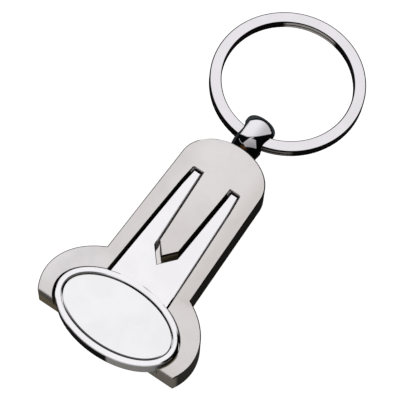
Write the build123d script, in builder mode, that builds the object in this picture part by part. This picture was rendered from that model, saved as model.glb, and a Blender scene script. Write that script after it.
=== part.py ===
from build123d import *
from math import asin, cos, degrees, radians, sin, sqrt
import os

os.makedirs("parts", exist_ok=True)

# A golf divot tool on a key ring: a cast holder with a two-pronged fork let into its face,
# an oval ball marker in the fork's head, and a split ring on a swivel barrel.
# It lies on its back. X runs across it, Y along it towards the ring, Z up from its face.
# All sizes are in millimetres. Places along Y are first given from the centre of the oval head.

# Fork: oval head, stem and two prongs
head_half_width = 13.4
head_half_height = 7.92
rim_rise = 0.35
fork_reach = 33.95
stem_half_width = 6.72
stem_root = 7.0
prong_land_length = 3.75
prong_bend_half_width = 5.55
prong_tip_half_width = 5.15
prong_inner_root = 2.68
prong_inner_tip = 3.65
crotch_shoulder = 16.6
crotch_point = 13.5
stem_drop = 1.0
fork_bevel = 0.14
rim_inner_bevel = 0.12

# Holder: cast body with a pocket for the fork and a tongue between its prongs
holder_thickness = 7.1
pocket_depth = 3.65
pocket_gap = 0.42
pocket_shift = 0.3
prong_gap = 0.4
tongue_gap = 0.5
prong_end_gap = 0.3
tongue_point_gap = 1.65
slot_corner_radius = 0.45
side_wall_low = 2.8
side_wall_high = 3.75
top_block_length = 8.6
top_arc_height = 7.0
shoulder_side_width = 3.4
shoulder_top_width = 4.53
shoulder_rise = 0.7
shoulder_end = 4.1
face_bevel = 0.22
pocket_bevel = 0.1
back_edge_radius = 0.35

# Ball marker plate and the two magnets
marker_thickness = 1.0
marker_gap = 0.2
marker_drop = 0.4
marker_edge_radius = 0.15
rim_width = 1.2
magnet_radius = 4.0
magnet_thickness = 1.5
magnet_gap = 0.05
seat_gap = 0.05

# Swivel: barrel with a grooved stud, a washer under it and a cross pin that keeps it in
barrel_radius = 3.3
barrel_base_radius = 2.88
barrel_base_bevel = 0.15
barrel_waist = 4.6
barrel_straight_end = 6.85
barrel_corner_radius = 1.25
crown_angle = 7
ring_hole_rise = 4.19
ring_hole_edge_radius = 0.1
stud_radius = 1.2
stud_length = 6.0
stud_fit = 0.05
stud_end_gap = 0.3
groove_depth = 0.45
groove_place = 3.4
washer_radius = 2.7
washer_thickness = 0.6
washer_seat_depth = 0.45
washer_gap = 0.15
barrel_gap = 0.1
pin_radius = 0.5
pin_gap = 0.1
pin_fit = 0.01
pin_reach = 1.6
pin_recess = 0.05

# Split ring: one flat wire wound twice
ring_outer_radius = 16.0
ring_band = 2.5
ring_turn = 1.0
ring_seam = 0.09
ring_edge_radius = 0.18
ring_slack = 0.1
ring_shift = 1.15
ring_floor_gap = 0.65
wire_step_half_length = 1.3
wire_end_gap = 0.25
wire_gap_length = 1.1
wire_joint_length = 0.5
wire_joint_inset = 0.02

# How far a cutting shape runs past what it cuts
overrun = 1.0

# Heights above the back of the holder
pocket_floor = holder_thickness - pocket_depth
fork_bottom = pocket_floor + seat_gap
rim_top = holder_thickness + rim_rise
stem_top = holder_thickness - stem_drop
marker_top = rim_top - marker_drop
marker_bottom = marker_top - marker_thickness
recess_floor = marker_bottom - seat_gap
axis_height = holder_thickness / 2

# Places along the fork and the holder, from the centre of the oval head
prong_bend = fork_reach - prong_land_length
slot_end = fork_reach + prong_end_gap
side_end = slot_end + top_block_length - top_arc_height
holder_end = slot_end + top_block_length
washer_seat = holder_end - washer_seat_depth
barrel_base = washer_seat + washer_thickness + barrel_gap
ring_hole_place = barrel_base + ring_hole_rise

# The ring's near strand lies in the barrel's cross hole, and its far side droops towards the table
ring_thickness = 2 * ring_turn + ring_seam
ring_inner_radius = ring_outer_radius - ring_band
ring_mid_radius = ring_outer_radius - ring_band / 2
strand_end = barrel_radius + ring_shift
strand_sag = ring_mid_radius - sqrt(ring_mid_radius**2 - strand_end**2)
ring_centre_reach = ring_mid_radius - strand_sag / 2
ring_far_reach = ring_centre_reach + ring_outer_radius
ring_drop = axis_height - ring_thickness / 2 - ring_floor_gap
ring_droop = degrees(asin(ring_drop / ring_far_reach))
ring_hole_radius = sqrt((ring_band / 2 + strand_sag / 2) ** 2 + (ring_thickness / 2) ** 2) + ring_slack

# The origin is the middle of the whole part's footprint, at the level of the back
droop_cos = cos(radians(ring_droop))
droop_sin = sin(radians(ring_droop))
ring_far_edge = ring_hole_place + ring_far_reach * droop_cos + ring_thickness / 2 * droop_sin
head_place = (head_half_height - ring_far_edge) / 2

# Half widths of the pocket, and the holder's half widths beside it
pocket_half_width = head_half_width + pocket_gap
pocket_half_height = head_half_height + pocket_gap
slot_root_half_width = stem_half_width + prong_gap
slot_bend_half_width = prong_bend_half_width + prong_gap
slot_tip_half_width = prong_tip_half_width + prong_gap
tongue_root_half_width = prong_inner_root - tongue_gap
tongue_tip_half_width = prong_inner_tip - tongue_gap
tongue_point = crotch_point + tongue_point_gap
tongue_shoulder = tongue_point + (crotch_shoulder - crotch_point) * tongue_root_half_width / prong_inner_root
holder_low_half_width = slot_root_half_width + side_wall_low
holder_high_half_width = slot_tip_half_width + side_wall_high
shoulder_half_width = pocket_half_width + shoulder_side_width
shoulder_half_height = pocket_half_height + shoulder_top_width - shoulder_rise

# Ball marker and its recess in the head
recess_half_width = head_half_width - rim_width
recess_half_height = head_half_height - rim_width
marker_half_width = recess_half_width - marker_gap
marker_half_height = recess_half_height - marker_gap
magnet_well_radius = magnet_radius + magnet_gap
magnet_well_depth = magnet_thickness + magnet_gap

# Swivel stud, its groove and the cross pin beside it
groove_radius = stud_radius - groove_depth
groove_half_width = pin_radius + pin_gap
groove_centre = barrel_base - groove_place
pin_place = groove_radius + pin_gap + pin_radius
pin_top = axis_height + pin_reach
stud_bore_radius = stud_radius + stud_fit
stud_bore_end = barrel_base - stud_length - stud_end_gap

# Working planes: the head's centre on each level, and the swivel axis
swivel_plane = Plane(origin=(0, head_place, axis_height), x_dir=(1, 0, 0), z_dir=(0, 1, 0))
swivel_axis = Axis((0, head_place, axis_height), (0, 1, 0))


def level(height):
    """The plane at this height, with its origin over the centre of the oval head."""
    return Plane(origin=(0, head_place, height), x_dir=(1, 0, 0), z_dir=(0, 0, 1))


# Holder body
with BuildPart() as holder_body:
    with BuildSketch(level(0)):
        with Locations((0, shoulder_rise)):
            Ellipse(shoulder_half_width, shoulder_half_height)
        with Locations((0, -shoulder_end)):
            Rectangle(
                2 * (shoulder_half_width + overrun),
                2 * (shoulder_half_height + overrun),
                align=(Align.CENTER, Align.MAX),
                mode=Mode.SUBTRACT,
            )
        with BuildLine():
            Polyline(
                (-holder_low_half_width, stem_root),
                (holder_low_half_width, stem_root),
                (holder_high_half_width, side_end),
                (-holder_high_half_width, side_end),
                close=True,
            )
        make_face()
        with Locations((0, side_end)):
            Ellipse(holder_high_half_width, top_arc_height)
    extrude(amount=holder_thickness)
    chamfer(holder_body.edges().group_by(Axis.Z)[-1], face_bevel)
    fillet(holder_body.edges().group_by(Axis.Z)[0], back_edge_radius)

    # Pocket for the fork, cut from the face down, which leaves the tongue standing
    with BuildSketch(level(holder_thickness)):
        with Locations((0, -pocket_shift)):
            Ellipse(pocket_half_width, pocket_half_height)
        with BuildSketch(mode=Mode.PRIVATE) as slots:
            with BuildLine():
                Polyline(
                    (-slot_root_half_width, 0),
                    (-slot_root_half_width, stem_root),
                    (-slot_bend_half_width, prong_bend),
                    (-slot_tip_half_width, slot_end),
                    (slot_tip_half_width, slot_end),
                    (slot_bend_half_width, prong_bend),
                    (slot_root_half_width, stem_root),
                    (slot_root_half_width, 0),
                    close=True,
                )
            make_face()
            fillet(slots.vertices().group_by(Axis.Y)[-1], slot_corner_radius)
            with BuildLine():
                Polyline(
                    (0, tongue_point),
                    (tongue_root_half_width, tongue_shoulder),
                    (tongue_tip_half_width, slot_end),
                    (tongue_tip_half_width, slot_end + overrun),
                    (-tongue_tip_half_width, slot_end + overrun),
                    (-tongue_tip_half_width, slot_end),
                    (-tongue_root_half_width, tongue_shoulder),
                    close=True,
                )
            make_face(mode=Mode.SUBTRACT)
        add(slots.sketch)
    extrude(amount=-pocket_depth, mode=Mode.SUBTRACT)
    chamfer(holder_body.edges(Select.LAST).group_by(Axis.Z)[-1], pocket_bevel)

    # Well for the magnet under the head
    with BuildSketch(level(pocket_floor)):
        Circle(magnet_well_radius)
    extrude(amount=-magnet_well_depth, mode=Mode.SUBTRACT)

    # Flat seat for the washer and the bore for the swivel's stud, in the top edge
    with BuildSketch(swivel_plane.offset(washer_seat)):
        Circle(washer_radius + washer_gap)
    extrude(amount=washer_seat_depth + overrun, mode=Mode.SUBTRACT)
    with BuildSketch(swivel_plane.offset(washer_seat)):
        Circle(stud_bore_radius)
    extrude(amount=stud_bore_end - washer_seat, mode=Mode.SUBTRACT)

    # Hole for the cross pin, from the back
    with BuildSketch(level(0)):
        with Locations((pin_place, groove_centre)):
            Circle(pin_radius + pin_fit)
    extrude(amount=pin_top, mode=Mode.SUBTRACT)
holder_body.part.label = "holder_body"
export_step(holder_body.part, "parts/holder_body.step")

# Magnet in the pocket's floor
with BuildPart() as holder_magnet:
    with BuildSketch(level(pocket_floor - magnet_well_depth)):
        Circle(magnet_radius)
    extrude(amount=magnet_thickness)
holder_magnet.part.label = "holder_magnet"
export_step(holder_magnet.part, "parts/holder_magnet.step")

# Divot fork
with BuildPart() as divot_fork:
    with BuildSketch(level(fork_bottom)):
        with BuildLine():
            Polyline(
                (-stem_half_width, 0),
                (-stem_half_width, stem_root),
                (-prong_bend_half_width, prong_bend),
                (-prong_tip_half_width, fork_reach),
                (-prong_inner_tip, fork_reach),
                (-prong_inner_root, crotch_shoulder),
                (0, crotch_point),
                (prong_inner_root, crotch_shoulder),
                (prong_inner_tip, fork_reach),
                (prong_tip_half_width, fork_reach),
                (prong_bend_half_width, prong_bend),
                (stem_half_width, stem_root),
                (stem_half_width, 0),
                close=True,
            )
        make_face()
    extrude(amount=stem_top - fork_bottom)
    chamfer(divot_fork.edges().group_by(Axis.Z)[-1], fork_bevel)
    chamfer(divot_fork.edges().group_by(Axis.Z)[0], fork_bevel)
    with BuildSketch(level(fork_bottom)):
        Ellipse(head_half_width, head_half_height)
    extrude(amount=rim_top - fork_bottom)
    chamfer(divot_fork.edges().group_by(Axis.Z)[-1], fork_bevel)

    # Recess for the marker, and the magnet's well in its floor
    with BuildSketch(level(rim_top)):
        Ellipse(recess_half_width, recess_half_height)
    extrude(amount=recess_floor - rim_top, mode=Mode.SUBTRACT)
    chamfer(divot_fork.edges(Select.LAST).group_by(Axis.Z)[-1], rim_inner_bevel)
    with BuildSketch(level(recess_floor)):
        Circle(magnet_well_radius)
    extrude(amount=-magnet_well_depth, mode=Mode.SUBTRACT)
divot_fork.part.label = "divot_fork"
export_step(divot_fork.part, "parts/divot_fork.step")

# Magnet in the fork's head
with BuildPart() as marker_magnet:
    with BuildSketch(level(recess_floor - magnet_well_depth)):
        Circle(magnet_radius)
    extrude(amount=magnet_thickness)
marker_magnet.part.label = "marker_magnet"
export_step(marker_magnet.part, "parts/marker_magnet.step")

# Ball marker: a plain oval plate
with BuildPart() as ball_marker:
    with BuildSketch(level(marker_bottom)):
        Ellipse(marker_half_width, marker_half_height)
    extrude(amount=marker_thickness)
    fillet(ball_marker.edges(), marker_edge_radius)
ball_marker.part.label = "ball_marker"
export_step(ball_marker.part, "parts/ball_marker.step")

# Washer between the holder and the barrel
with BuildPart() as swivel_washer:
    with BuildSketch(swivel_plane.offset(washer_seat)):
        Circle(washer_radius)
        Circle(stud_radius + washer_gap, mode=Mode.SUBTRACT)
    extrude(amount=washer_thickness)
swivel_washer.part.label = "swivel_washer"
export_step(swivel_washer.part, "parts/swivel_washer.step")

# Cross pin, pressed in from the back beside the stud's groove
with BuildPart() as retaining_pin:
    with BuildSketch(level(pin_recess)):
        with Locations((pin_place, groove_centre)):
            Circle(pin_radius)
    extrude(amount=pin_top - pin_recess)
retaining_pin.part.label = "retaining_pin"
export_step(retaining_pin.part, "parts/retaining_pin.step")

# Swivel barrel with its stud, turned about the swivel axis, then cross drilled for the ring
crown_reach = barrel_radius - barrel_corner_radius * (1 - sin(radians(crown_angle)))
crown_radius = crown_reach / sin(radians(crown_angle))
with BuildPart() as swivel_barrel:
    with BuildSketch(level(axis_height)):
        with BuildLine():
            stud_side = Polyline(
                (0, barrel_base - stud_length),
                (stud_radius, barrel_base - stud_length),
                (stud_radius, groove_centre - groove_half_width),
                (groove_radius, groove_centre - groove_half_width),
                (groove_radius, groove_centre + groove_half_width),
                (stud_radius, groove_centre + groove_half_width),
                (stud_radius, barrel_base),
                (barrel_base_radius - barrel_base_bevel, barrel_base),
                (barrel_base_radius, barrel_base + barrel_base_bevel),
            )
            waist = Spline(
                stud_side @ 1,
                (barrel_radius, barrel_base + barrel_waist),
                tangents=((barrel_radius - barrel_base_radius, barrel_waist / 2), (0, 1)),
            )
            straight = Line(waist @ 1, (barrel_radius, barrel_base + barrel_straight_end))
            corner = JernArc(straight @ 1, (0, 1), barrel_corner_radius, 90 - crown_angle)
            crown = JernArc(corner @ 1, corner % 1, crown_radius, crown_angle)
            Line(crown @ 1, stud_side @ 0)
        make_face()
    revolve(axis=swivel_axis)
    with BuildSketch(Plane(origin=(0, head_place + ring_hole_place, axis_height), z_dir=(1, 0, 0))):
        Circle(ring_hole_radius)
    extrude(amount=barrel_radius + overrun, both=True, mode=Mode.SUBTRACT)
    fillet(swivel_barrel.edges(Select.LAST).filter_by(GeomType.CIRCLE, reverse=True), ring_hole_edge_radius)
swivel_barrel.part.label = "swivel_barrel"
export_step(swivel_barrel.part, "parts/swivel_barrel.step")

# Split ring: its plane droops from the hole, and its centre lies a little to one side
ring_forward = Vector(0, droop_cos, -droop_sin)
ring_normal = Vector(0, droop_sin, droop_cos)
ring_hinge = Vector(0, head_place + ring_hole_place, axis_height)
ring_centre = ring_hinge + ring_forward * ring_centre_reach + Vector(-ring_shift, 0, 0)
ring_plane = Plane(origin=ring_centre, x_dir=(1, 0, 0), z_dir=ring_normal)
ring_section = Plane(origin=ring_centre, x_dir=(1, 0, 0), z_dir=-ring_forward)
turn_middle = (ring_turn + ring_seam) / 2
wire_end = wire_step_half_length + wire_end_gap
turn_start = wire_end + wire_gap_length
step_reach = turn_start + wire_joint_length
step_outside = ring_thickness / 2 - wire_joint_inset
step_inside = ring_seam / 2 + wire_joint_inset

# The short slope, inside the barrel, where the wire steps from the lower turn to the upper one
with BuildPart() as wire_step:
    with BuildSketch(ring_section.offset(ring_inner_radius - overrun)):
        with Locations((ring_shift, 0)):
            with BuildLine():
                Polyline(
                    (-step_reach, -step_outside),
                    (-wire_step_half_length, -step_outside),
                    (wire_step_half_length, step_inside),
                    (step_reach, step_inside),
                    (step_reach, step_outside),
                    (wire_step_half_length, step_outside),
                    (-wire_step_half_length, -step_inside),
                    (-step_reach, -step_inside),
                    close=True,
                )
            make_face()
    extrude(amount=ring_band + 2 * overrun)
    with BuildSketch(ring_plane.offset(-ring_thickness / 2)):
        Circle(ring_outer_radius - wire_joint_inset)
        Circle(ring_inner_radius + wire_joint_inset, mode=Mode.SUBTRACT)
    extrude(amount=ring_thickness, mode=Mode.INTERSECT)

with BuildPart() as split_ring:
    with BuildSketch(ring_section):
        with Locations((ring_mid_radius, turn_middle), (ring_mid_radius, -turn_middle)):
            RectangleRounded(ring_band, ring_turn, ring_edge_radius)
    revolve(axis=Axis(ring_centre, ring_normal))
    for side in (1, -1):
        with BuildSketch(ring_section.offset(ring_inner_radius - overrun)):
            with Locations((ring_shift + side * wire_gap_length / 2, side * ring_thickness / 2)):
                Rectangle(turn_start + wire_end, ring_thickness)
        extrude(amount=ring_band + 2 * overrun, mode=Mode.SUBTRACT)
    add(wire_step.part)
split_ring.part.label = "split_ring"
export_step(split_ring.part, "parts/split_ring.step")
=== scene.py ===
from math import cos, radians, sin

import bmesh
import bpy
from mathutils import Matrix, Vector

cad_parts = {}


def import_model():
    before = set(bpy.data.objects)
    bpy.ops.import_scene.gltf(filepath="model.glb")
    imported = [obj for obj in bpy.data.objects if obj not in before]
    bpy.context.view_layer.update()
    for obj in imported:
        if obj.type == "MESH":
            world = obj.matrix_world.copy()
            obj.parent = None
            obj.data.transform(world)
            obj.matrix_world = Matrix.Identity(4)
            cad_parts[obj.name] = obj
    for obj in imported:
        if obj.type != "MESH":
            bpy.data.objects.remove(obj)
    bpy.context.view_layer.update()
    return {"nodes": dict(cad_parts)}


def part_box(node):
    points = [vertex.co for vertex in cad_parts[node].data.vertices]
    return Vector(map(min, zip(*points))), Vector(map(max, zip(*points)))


# A golf divot tool on a key ring, lying on its back on a white table.
# Shapes are in metres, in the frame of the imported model. Most finishes are laid out in
# millimetres: across the tool, up from its back, and along it from the middle of the oval head.
# A ramp goes from 0 at its first number to 1 at its second, unless it says a start and an end.
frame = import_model()
nodes = frame["nodes"]
MM = 0.001

# The barrel's half width, and where its foot stands beyond the washer
barrel_low, barrel_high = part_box("swivel_barrel")
barrel_radius = (barrel_high.x - barrel_low.x) / 2
barrel_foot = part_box("swivel_washer")[1].y + 0.1 * MM

# The ring's middle, its outer radius, the width of its band, and its slope towards the table
ring_low, ring_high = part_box("split_ring")
ring_middle = (ring_low + ring_high) / 2
ring_radius = (ring_high.x - ring_low.x) / 2
ring_band = 2.5 * MM
ring_lean = 0.061

# Where the middle of the oval head lies along the tool, and the half sizes of the marker, of the
# recess that holds it, of the head and of the pocket round that, in mm. The pocket's middle lies
# a little nearer the front.
marker_gap = 0.2
rim_width = 1.2
pocket_gap = 0.42
pocket_shift = 0.3
marker_low, marker_high = (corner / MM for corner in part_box("ball_marker"))
head_place = (marker_low.y + marker_high.y) / 2
marker_oval = ((marker_high.x - marker_low.x) / 2, (marker_high.y - marker_low.y) / 2)
recess_oval = [half + marker_gap for half in marker_oval]
head_oval = [half + rim_width for half in recess_oval]
pocket_oval = [half + pocket_gap for half in head_oval]

# The holder's top, and where the slots beside its tongue end, in mm
holder_top = 7.1
slot_end = 34.25


# Helpers for laying out a finish
class Level:
    """A number that a node puts out, to work out other numbers with."""

    def __init__(self, tray, socket):
        self.tray = tray
        self.socket = socket

    def __add__(self, other):
        return self.tray.work("ADD", self, other)

    def __sub__(self, other):
        return self.tray.work("SUBTRACT", self, other)

    def __rsub__(self, other):
        return self.tray.work("SUBTRACT", other, self)

    def __mul__(self, other):
        return self.tray.work("MULTIPLY", self, other)

    def __truediv__(self, other):
        return self.tray.work("DIVIDE", self, other)

    def __neg__(self):
        return self * -1.0

    def __abs__(self):
        return self.tray.work("ABSOLUTE", self)

    __radd__ = __add__
    __rmul__ = __mul__

    def squared(self):
        return self * self

    def root(self):
        return self.tray.work("SQRT", self)

    def ramp(self, low, high, start=0.0, end=1.0):
        """A smooth step: start where this is at low or short of it, end where it is at high."""
        node = self.tray.put(
            "MapRange",
            {"Value": self, "From Min": low, "From Max": high, "To Min": start, "To Max": end},
            interpolation_type="SMOOTHSTEP",
        )
        return Level(self.tray, node.outputs["Result"])


class Tray:
    """A node tree being laid out: of a material, of the world or of a shared effect."""

    def __init__(self, tree):
        self.tree = tree

    def put(self, kind, inputs=None, **settings):
        """One node of this kind, with its settings and with what feeds its sockets."""
        node = self.tree.nodes.new("ShaderNode" + kind)
        for name, value in settings.items():
            setattr(node, name, value)
        for socket, value in (inputs or {}).items():
            self.feed(node.inputs[socket], value)
        return node

    def feed(self, socket, value):
        """A socket's own value, or a link from what another node puts out."""
        if isinstance(value, Level):
            value = value.socket
        if isinstance(value, bpy.types.NodeSocket):
            self.tree.links.new(value, socket)
        else:
            socket.default_value = value

    def work(self, operation, *values):
        """One piece of arithmetic on levels or plain numbers."""
        node = self.put("Math", dict(enumerate(values)), operation=operation)
        return Level(self, node.outputs[0])

    def parts(self, vector):
        """The X, Y and Z of a vector."""
        return [Level(self, part) for part in self.put("SeparateXYZ", {0: vector}).outputs]

    def noise(self, place, scale, detail, distortion=0.0):
        """Smooth noise from 0 to 1, with scale as the number of lumps to each unit of place."""
        inputs = {"Vector": place, "Scale": scale, "Detail": detail, "Distortion": distortion}
        return Level(self, self.put("TexNoise", inputs).outputs["Fac"])

    def blend(self, share, first, second):
        """A mix of two colours."""
        node = self.put("Mix", {0: share, 6: first, 7: second}, data_type="RGBA")
        return node.outputs[2]

    def masks(self, effect, **given):
        """What a shared effect puts out, by name."""
        node = self.put("Group", given, node_tree=effect)
        return {made.name: Level(self, made) for made in node.outputs}


class Effect(Tray):
    """A shared effect: a node group that works out masks, from where a point lies on the object
    and which way the surface looks there."""

    def __init__(self, name, **given):
        super().__init__(bpy.data.node_groups.new(name, "ShaderNodeTree"))
        for socket, value in given.items():
            made = self.tree.interface.new_socket(
                socket, in_out="INPUT", socket_type="NodeSocketFloat"
            )
            made.default_value = value
        self.given = self.tree.nodes.new("NodeGroupInput").outputs
        coordinates = self.put("TexCoord").outputs
        self.place = coordinates["Object"]
        self.normal = coordinates["Normal"]

    def millimetres(self):
        """Where a point lies, in mm: across the tool, along it from the head, and up."""
        across, along, up = (part / MM for part in self.parts(self.place))
        return across, along - head_place, up

    def give(self, **masks):
        """The finished group, with these outputs."""
        for name in masks:
            self.tree.interface.new_socket(name, in_out="OUTPUT", socket_type="NodeSocketFloat")
        leaving = self.tree.nodes.new("NodeGroupOutput")
        for name, mask in masks.items():
            self.feed(leaving.inputs[name], mask)
        return self.tree


def most(level, *others):
    """The greatest of these: of masks, where any of them is full."""
    for other in others:
        level = level.tray.work("MAXIMUM", level, other)
    return level


def least(level, other):
    """The smaller of two levels."""
    return level.tray.work("MINIMUM", level, other)


def oval_edge(across, from_head, half_width, half_height):
    """How far inside an oval a point lies, in mm, and which way the nearest edge faces."""
    slope_x = across / half_width**2
    slope_y = from_head / half_height**2
    slope = (slope_x.squared() + slope_y.squared()).root()
    inward = (1.0 - (across * slope_x + from_head * slope_y)) / (slope * 2.0)
    return inward, (slope_x / slope, slope_y / slope)


def facing(way, bearing, starts, full):
    """Where an edge or a wall faces this bearing, in degrees from +X towards +Y."""
    share = way[0] * cos(radians(bearing)) + way[1] * sin(radians(bearing))
    return share.ramp(starts, full)


# Shared effects. Flank is where a piece is painted dark, a painted dark reflection on its walls
# and edges, and Front is where that painted dark is thinner, a painted grey reflection. Brown is a
# painted brown reflection in it, and painted brown shade on the holder's pocket floor, Brass is a
# painted brown-orange glint, and Light is a painted highlight.
def plain_flanks():
    """The upright flanks of a piece, as against its flat faces: the flanks are painted darker, as
    painted shade.
    """
    effect = Effect("plain_flanks")
    wall_z = effect.parts(effect.normal)[2]
    return effect.give(Flank=abs(wall_z).ramp(0.45, 0.97, 1.0, 0.0))


def fork_black():
    """The fork's walls painted dark as a painted dark reflection, with the rim's edges painted
    dark on two stretches: outside on the right, and inside round the upper left. The right walls
    of the prongs get a painted highlight, and the head's front right wall a painted grey
    reflection."""
    effect = Effect("fork_black")
    across, from_head, up = effect.millimetres()
    wall_x, wall_y, wall_z = effect.parts(effect.normal)
    walls = abs(wall_z).ramp(0.5, 0.69, 1.0, 0.0) * wall_y.ramp(0.4, 0.6, 1.0, 0.0)

    inward, edge = oval_edge(across, from_head, *head_oval)
    outer_line = inward.ramp(0.4, 0.28) * facing(edge, 6, 0.72, 0.84)
    inward, edge = oval_edge(across, from_head, *recess_oval)
    inner_line = inward.ramp(-0.24, -0.15) * inward.ramp(0.2, 0.1, 0.0, 0.8)
    inner_line = inner_line * facing(edge, 160, 0.55, 0.75)
    rim_lines = most(outer_line, inner_line) * up.ramp(7.0, 7.2)

    beside_prongs = from_head.ramp(15.5, 18.0)
    # Flank is a painted dark reflection, Front a painted grey reflection, Light a painted
    # highlight
    return effect.give(
        Flank=most(walls, rim_lines),
        Front=facing((wall_x, wall_y), -45, 0.783, 0.804),
        Light=wall_x.ramp(0.5, 0.8) * beside_prongs,
    )


def marker_black():
    """The marker's edge painted dark as a painted dark reflection, with a broader painted dark
    line along its near side.
    """
    effect = Effect("marker_black")
    across, from_head, _ = effect.millimetres()
    wall_z = effect.parts(effect.normal)[2]
    inward, edge = oval_edge(across, from_head, *marker_oval)
    near_line = inward.ramp(0.42, 0.26, 0.0, 0.9) * facing(edge, 286, 0.5, 0.85)
    return effect.give(Flank=most(abs(wall_z).ramp(0.6, 0.97, 1.0, 0.0), near_line))


def barrel_black():
    """The barrel's parts painted dark as a painted dark reflection: its foot, its left side and
    its rounded end, with a painted dark grey reflection on the end's far part and down the left
    side. In the foot's painted dark, bright metal is left as painted reflections: a patch, a small
    bright spot and a curved light line, with a painted brown-orange glint under them. Places are
    the offset from its axis, as a share of its radius, and the height in mm."""
    effect = Effect("barrel_black")
    across, along, _ = effect.parts(effect.place)
    offset = across / barrel_radius
    above_foot = (along - barrel_foot) / MM

    def beyond(slope, edge, soft=0.05):
        """One side of a slanting line: where offset + slope x height is over edge."""
        return (above_foot * slope + offset).ramp(edge - soft / 2, edge + soft / 2)

    def before(slope, edge, soft=0.05):
        """The other side of such a line."""
        return 1.0 - beyond(slope, edge, soft)

    rightward = most(offset + 0.2, 0.0)
    foot_edge = rightward * (rightward * 2.3 + 1.2) + 2.5
    black_foot = (foot_edge - above_foot).ramp(-0.12, 0.12)
    above_end = (offset - 0.22).squared() * 1.65 + above_foot
    black_end = above_end.ramp(7.02, 7.18)
    grey_end = above_end.ramp(7.4, 7.65)

    # Painted reflections: bright metal left in the painted dark of the foot
    patch = beyond(-0.096, -0.23) * beyond(-0.74, -1.815) * beyond(0.575, 0.445)
    patch = patch * before(0.243, 1.117) * before(-0.483, -0.188)
    bright_dot = beyond(-0.277, -0.70, 0.03) * before(-0.277, -0.62, 0.03)
    bright_dot = bright_dot * above_foot.ramp(2.4, 2.6) * above_foot.ramp(3.2, 3.0)
    glint_curve = (offset + 0.12).squared() * 4.2 + 0.85
    curved_glint = abs(glint_curve - above_foot).ramp(0.09, 0.03) * beyond(0.0, -0.52) * before(0.0, -0.12)
    left_bright = most(patch * 0.7, bright_dot * 0.9, curved_glint * 0.55)

    return effect.give(
        Flank=most(before(0.0, -0.63), black_end, black_foot * (1.0 - left_bright)),
        Front=most(grey_end, before(0.0, -0.68) * 0.6),
        # Brass: a painted brown-orange glint low on the foot
        Brass=beyond(0.0, -0.12, 0.3) * before(0.0, 0.2, 0.3) * above_foot.ramp(0.7, 0.4),
    )


def ring_black():
    """The ring's walls, edges and seam painted dark as a painted dark reflection, in metres from
    its middle. The painted dark is thinner, a painted grey reflection, on two stretches: inside
    the far strand, and half as much so outside the near one."""
    effect = Effect("ring_black")
    from_middle = effect.put(
        "VectorMath", {0: effect.place, 1: ring_middle}, operation="SUBTRACT"
    )
    across, along, up = effect.parts(from_middle.outputs[0])
    wall_x, wall_y, wall_z = effect.parts(effect.normal)
    off_plane = abs(along * ring_lean + up)
    reach = (across.squared() + (along - up * ring_lean).squared()).root()

    inner_radius = ring_radius - ring_band
    into_band = least(ring_radius - reach, reach - inner_radius)
    edges = into_band.ramp(0.26 * MM, 0.21 * MM)
    walls = abs(wall_y * ring_lean + wall_z).ramp(0.6, 0.5)
    seam = off_plane.ramp(0.13 * MM, 0.09 * MM)

    inside = reach.ramp(inner_radius + 0.55 * ring_band, inner_radius + 0.45 * ring_band)
    far_strand = facing((wall_x, wall_y), -78.465, 0.895, 0.93)
    near_strand = facing((wall_x, wall_y), -66, 0.9695, 0.9845)
    return effect.give(
        Flank=most(edges, walls, seam),
        Front=inside * far_strand + (1.0 - inside) * near_strand * 0.5,
    )


def slot_streaks(across, from_head, up):
    """A painted highlight on the wall of each slot, at the far end of its left side. The highlight
    is an oval drawn on the holder's top and carried down from there on a slant."""
    left_place, right_place = -5.3, 3.4
    middle = slot_end - 0.8
    half_width, half_length = 0.19, 0.68
    slant_x, slant_y = 0.198, -0.33
    depth = holder_top - up
    slanted_x = across + depth * slant_x
    slanted_y = from_head + depth * slant_y
    off_axis = least(abs(slanted_x - left_place), abs(slanted_x - right_place)) / half_width
    off_middle = (slanted_y - middle) / half_length
    return (off_axis.squared() + off_middle.squared()).ramp(1.25, 0.75)


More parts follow.
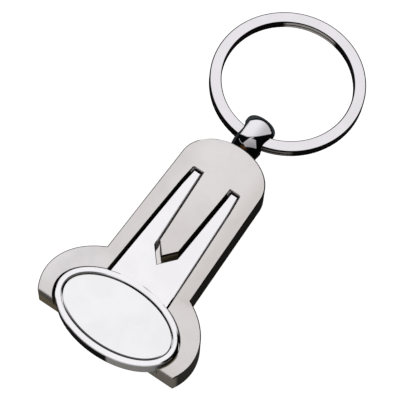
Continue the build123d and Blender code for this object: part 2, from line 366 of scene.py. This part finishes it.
def holder_black():
    """The holder's walls and bevels painted dark as a painted dark reflection, thinner, a painted
    grey reflection, on the shoulders' ends and right wall. Some places get a painted brown
    reflection, as the pocket's edge and the tongue's tip, the pocket's floor at its left end gets
    painted brown shade, and the slots' ends have painted highlights. Its face is painted darker
    and warmer to the right, and darker along its sides, waist and tips, both as painted shade. The
    pocket's floor is smoother."""
    effect = Effect("holder_black")
    across, from_head, up = effect.millimetres()
    wall_x, wall_y, wall_z = effect.parts(effect.normal)
    face_share = abs(wall_z)
    rightward, leftward = most(wall_x, 0.0), most(-wall_x, 0.0)
    backward, forward = most(wall_y, 0.0), most(-wall_y, 0.0)
    in_stem = from_head.ramp(9.0, 10.0)

    # A bevel counts as more of a wall or more of a face, by which way it looks
    outer_left = across.ramp(-8.0, -7.5, -0.16, 0.4) + across.ramp(7.5, 8.0, 0.0, -0.6)
    slot_lips = in_stem * across.ramp(-5.0, -4.5) * up.ramp(5.8, 6.2, 0.0, 0.6)
    level_share = face_share - rightward * 0.4 + leftward * (outer_left + slot_lips)
    level_share = level_share - forward * in_stem * 0.35 - backward * 0.16
    # Walls and bevels painted dark, as a painted dark reflection
    painted_dark = level_share.ramp(0.45, 0.97, 1.0, 0.0)
    end_lips = from_head.ramp(slot_end - 0.65, slot_end - 0.35)
    end_lips = end_lips * forward.ramp(0.5, 0.8) * up.ramp(6.0, 6.2)

    # Painted brown reflection on the pocket's outer edge and the tongue's tip, and painted brown
    # shade on the pocket floor's left end
    inward, edge = oval_edge(across, from_head + pocket_shift, *pocket_oval)
    pocket_line = inward.ramp(-0.34, -0.22) * inward.ramp(0.2, 0.1)
    pocket_line = pocket_line * up.ramp(6.8, 7.0) * facing(edge, -22, 0.84, 0.93)
    floor_end = up.ramp(4.2, 3.8) * across.ramp(-9.5, -10.5) * from_head.ramp(-2.0, -3.0)
    brown_places = most(pocket_line, floor_end)
    tongue_tip = forward.ramp(0.3, 0.5) * wall_x.ramp(-0.3, 0.0) * up.ramp(6.3, 5.9)
    tongue_tip = tongue_tip * in_stem * from_head.ramp(25.0, 30.0, 1.0, 0.15)

    # A painted grey reflection on the shoulders' ends and the right wall
    shoulder_ends = facing((wall_x, wall_y), -60, 0.8, 0.86) * (1.0 - in_stem)
    shoulder_ends = shoulder_ends * across.ramp(-10.0, 10.0, 0.5, 1.0)
    right_wall = wall_x.ramp(0.3, 0.5) * from_head.ramp(16.0, 4.0, 0.03, 0.15)

    # Face painted darker along its sides, waist and shoulder tips, as painted shade
    sides = abs(across).ramp(5.0, 8.5) * across.ramp(-8.0, 8.0, 0.6, 0.95) * in_stem
    waist = from_head.ramp(31.0, 20.0, 0.0, 0.55) * from_head.ramp(7.0, 12.0)
    tips = from_head.ramp(0.0, -4.0, 0.0, 0.6)
    return effect.give(
        Flank=most(painted_dark * (1.0 - end_lips), brown_places),
        Front=most(shoulder_ends, right_wall),
        Brown=most(brown_places, tongue_tip),
        Light=slot_streaks(across, from_head, up) * face_share.ramp(0.6, 0.5),
        Floor=face_share.ramp(0.9, 0.95) * up.ramp(6.0, 5.0),
        # Face painted darker and warmer towards the right, as painted shade
        Warm=across.ramp(-14.0, 12.0),
        Tarnish=most(sides, waist, tips),
    )


def satin_grain():
    """Fine blasted grain under a satin plating, with slow clouds of slightly duller metal."""
    effect = Effect("satin_grain")
    clouds = effect.noise(effect.place, 0.17 / MM, 2.0)
    return effect.give(
        Grain=effect.noise(effect.place, 6.0 / MM, 3.0), Clouds=clouds.ramp(0.35, 0.65)
    )


def polish_marks():
    """Hair-fine marks that polishing and use leave on bright metal, and smudges. The marks run
    along the tool, or turned from that by Turn, in radians."""
    effect = Effect("polish_marks", Turn=0.0)
    turned = effect.put(
        "VectorRotate", {"Vector": effect.place, "Angle": effect.given["Turn"]},
        rotation_type="Z_AXIS",
    )
    drawn_out = effect.put(
        "VectorMath", {0: turned.outputs[0], 1: Vector((9.0, 0.25, 9.0)) / MM},
        operation="MULTIPLY",
    )
    hairs = effect.noise(drawn_out.outputs[0], 1.0, 2.0)
    smears = effect.noise(effect.place, 0.22 / MM, 3.0, distortion=1.2)
    return effect.give(Marks=hairs.ramp(0.52, 0.74), Smudges=smears.ramp(0.45, 0.7))


flank_effect = plain_flanks()
grain_effect = satin_grain()
marks_effect = polish_marks()


# Finishes
def metal(
    name, effect, face, flank, polish, dulling, on_face=None, on_flank=None,
    grain=0.0, marks=0.0, turn=0.0, bare=0.02, cloud=0.035,
):
    """A metal finish: the colours of its faces and of its flanks, which are painted darker as
    painted dark reflections and painted shade, its polish and dulling as roughness, and its grain
    and marks as relief in mm. The effect's other masks lay more colours on the faces and flanks,
    as painted shade, painted reflections and painted highlights. Bare is the share of metal that
    shows through the painted dark, and cloud how much darker the clouds are."""
    made = bpy.data.materials.new(name)
    made.use_nodes = True
    made.node_tree.nodes.clear()
    tray = Tray(made.node_tree)
    masks = tray.masks(effect)
    satin = tray.masks(grain_effect)
    worn = tray.masks(marks_effect, Turn=radians(turn))
    side = masks["Flank"]

    duller = [shade * (1 - cloud) for shade in face]
    surface = tray.blend(satin["Clouds"], (*face, 1), (*duller, 1))
    for mask, colour in (on_face or {}).items():
        surface = tray.blend(masks[mask], surface, (*colour, 1))
    walls = (*flank, 1)
    for mask, colour in (on_flank or {}).items():
        walls = tray.blend(masks[mask], walls, (*colour, 1))

    uneven = worn["Smudges"] * dulling + worn["Marks"] * (dulling * 0.6) + polish
    roughness = uneven * side.ramp(0.0, 1.0, 1.0, 0.6)
    if "Floor" in masks:
        roughness = roughness * (1.0 - masks["Floor"] * 0.7)
    relief = satin["Grain"] * grain - worn["Marks"] * marks
    bumped = tray.put("Bump", {"Height": relief, "Strength": 1.0, "Distance": MM})
    shader = tray.put(
        "BsdfPrincipled",
        {
            "Base Color": tray.blend(side, surface, walls),
            "Metallic": side.ramp(0.0, 1.0, 1.0, bare),
            "Roughness": roughness,
            "Specular IOR Level": 0.0,
            "Normal": bumped.outputs["Normal"],
        },
    )
    tray.put("OutputMaterial", {"Surface": shader.outputs[0]})
    return made


# Holder: the flank colour is a painted dark reflection; Warm and Tarnish are painted shade on the
# face; Front is a painted grey reflection, Brown a painted brown reflection and shade, Light a
# painted highlight
satin_nickel = metal(
    "satin_nickel", holder_black(),
    face=(0.84, 0.808, 0.820), flank=(0.0044, 0.0040, 0.0034), polish=0.30, dulling=0.05,
    on_face={"Warm": (0.7871, 0.7514, 0.7454), "Tarnish": (0.705, 0.668, 0.650)},
    on_flank={
        "Front": (0.2156, 0.196, 0.1666), "Brown": (0.17, 0.14, 0.09), "Light": (0.95, 0.95, 0.95),
    },
    grain=0.004, bare=0.01, cloud=0.075,
)
# Fork: the flank colour is a painted dark reflection, Front a painted grey reflection and Light a
# painted highlight
polished_fork = metal(
    "polished_fork", fork_black(),
    face=(0.93, 0.915, 0.945), flank=(0.0051, 0.0049, 0.0047), polish=0.06, dulling=0.05,
    on_flank={"Front": (0.3672, 0.3528, 0.3384), "Light": (0.93, 0.915, 0.90)},
    marks=0.0006, bare=0.01,
)
# Marker: the flank colour is a painted dark reflection on its edge
polished_marker = metal(
    "polished_marker", marker_black(),
    face=(0.915, 0.91, 0.925), flank=(0.02, 0.018, 0.016), polish=0.08, dulling=0.05,
    marks=0.0006, turn=80,
)
# Barrel: the flank colour is a painted dark reflection, Front a painted dark grey reflection and
# Brass a painted brown-orange glint
chrome_barrel = metal(
    "chrome_barrel", barrel_black(),
    face=(0.86, 0.835, 0.875), flank=(0.0026, 0.0030, 0.0033), polish=0.18, dulling=0.03,
    on_flank={"Front": (0.052, 0.060, 0.066), "Brass": (0.11, 0.05, 0.018)}, bare=0.03,
)
# Ring: the flank colour is a painted dark reflection and Front a painted grey reflection
bright_ring = metal(
    "bright_ring", ring_black(),
    face=(0.84, 0.81, 0.85), flank=(0.0044, 0.0041, 0.0039), polish=0.08, dulling=0.05,
    on_flank={"Front": (0.462, 0.4305, 0.4095)}, marks=0.0006, turn=30, bare=0.015,
)
# Washer, pin and magnets: the flank colour is painted shade, darker than the faces
plain_steel = metal(
    "plain_steel", flank_effect,
    face=(0.42, 0.41, 0.40), flank=(0.20, 0.195, 0.19), polish=0.25, dulling=0.08, grain=0.003,
)
plated_magnet = metal(
    "plated_magnet", flank_effect,
    face=(0.50, 0.49, 0.48), flank=(0.3, 0.29, 0.28), polish=0.22, dulling=0.08, grain=0.003,
)

for node, finish in {
    "holder_body": satin_nickel,
    "divot_fork": polished_fork,
    "ball_marker": polished_marker,
    "swivel_barrel": chrome_barrel,
    "split_ring": bright_ring,
    "swivel_washer": plain_steel,
    "retaining_pin": plain_steel,
    "holder_magnet": plated_magnet,
    "marker_magnet": plated_magnet,
}.items():
    slots = nodes[node].data.materials
    for place in range(len(slots)):
        slots[place] = finish


# White table, just under the tool. To the eye, and mirrored in the metal, it glows white over a
# dim surface that takes the shadows. To the light that bounces about it is a plain white surface.
table_radius = 4.0
table_gap = 0.05 * MM
table = bpy.data.meshes.new("table_top")
top = bmesh.new()
bmesh.ops.create_circle(top, cap_ends=True, segments=96, radius=table_radius)
bmesh.ops.translate(top, verts=top.verts, vec=(0, 0, -table_gap))
top.to_mesh(table)
top.free()
table_top = bpy.data.objects.new("table_top", table)
bpy.context.scene.collection.objects.link(table_top)

white_table = bpy.data.materials.new("white_table")
white_table.use_nodes = True
white_table.node_tree.nodes.clear()
tray = Tray(white_table.node_tree)
rays = tray.put("LightPath").outputs
seen = most(*(
    Level(tray, rays[kind]) for kind in ("Is Camera Ray", "Is Glossy Ray", "Is Transmission Ray")
))
shadowed = tray.put(
    "BsdfDiffuse", {"Color": tray.blend(seen, (0.88, 0.88, 0.88, 1), (0.25, 0.25, 0.25, 1))}
)
white = tray.put("Emission", {"Color": (1, 1, 1, 1), "Strength": seen * 0.97})
both = tray.put("AddShader", {0: shadowed.outputs[0], 1: white.outputs[0]})
tray.put("OutputMaterial", {"Surface": both.outputs[0]})
table.materials.append(white_table)


# Soft studio: a broad white panel over the object that fades to one side, with grey ones about it
studio = bpy.data.worlds.new("studio")
bpy.context.scene.world = studio
studio.use_nodes = True
studio.node_tree.nodes.clear()
tray = Tray(studio.node_tree)
across, along, up = tray.parts(tray.put("TexCoord").outputs["Generated"])


def panel(strength, *edges):
    """A lit panel: each edge is a direction, where it starts to light up and where it is full."""
    light = strength
    for direction, dark, lit in edges:
        light = light * direction.ramp(dark, lit)
    return light


dark_studio = 0.012
light = most(
    panel(1.0, (along, 0.08, 0.15), (across, 1.03, 0.95), (up, 0.02, 0.12)),
    panel(0.6, (along, 0.15, 0.08), (up, 0.45, 0.65)),
    panel(0.85, (along, -0.3, -0.5), (up, 0.1, 0.35)),
    panel(0.6, (across, -0.5, -0.6), (up, 0.03, 0.12), (up, 0.6, 0.5)),
    panel(0.6, (across, 0.6, 0.7), (up, 0.03, 0.12), (up, 0.5, 0.4)),
    panel(0.7, (along, 0.6, 0.7), (up, 0.03, 0.08), (up, 0.3, 0.24)),
    dark_studio,
)
fade_to_right = across.ramp(0.9, -0.4, 0.6, 1.0)
sky = tray.put("Background", {"Color": (1, 1, 1, 1), "Strength": light * fade_to_right})
tray.put("OutputWorld", {"Surface": sky.outputs[0]})


# Camera, where the photographer stood
camera_data = bpy.data.cameras.new("camera")
camera = bpy.data.objects.new("camera", camera_data)
bpy.context.scene.collection.objects.link(camera)
bpy.context.scene.camera = camera
camera_data.sensor_width = 36.0
camera_data.lens = 184.35
camera_data.clip_start = 0.01
camera_data.clip_end = 20.0
stand = Vector((0.073765, -0.131143, 0.382232))
right = Vector((0.824832, 0.564812, 0.025285))
down = Vector((0.534424, -0.764299, -0.360885))
forward = Vector((-0.184507, 0.311182, -0.932268))
turned = Matrix((right, -down, -forward)).transposed().to_4x4()
camera.matrix_world = Matrix.Translation(stand) @ turned

bpy.context.scene.view_settings.view_transform = "Standard"
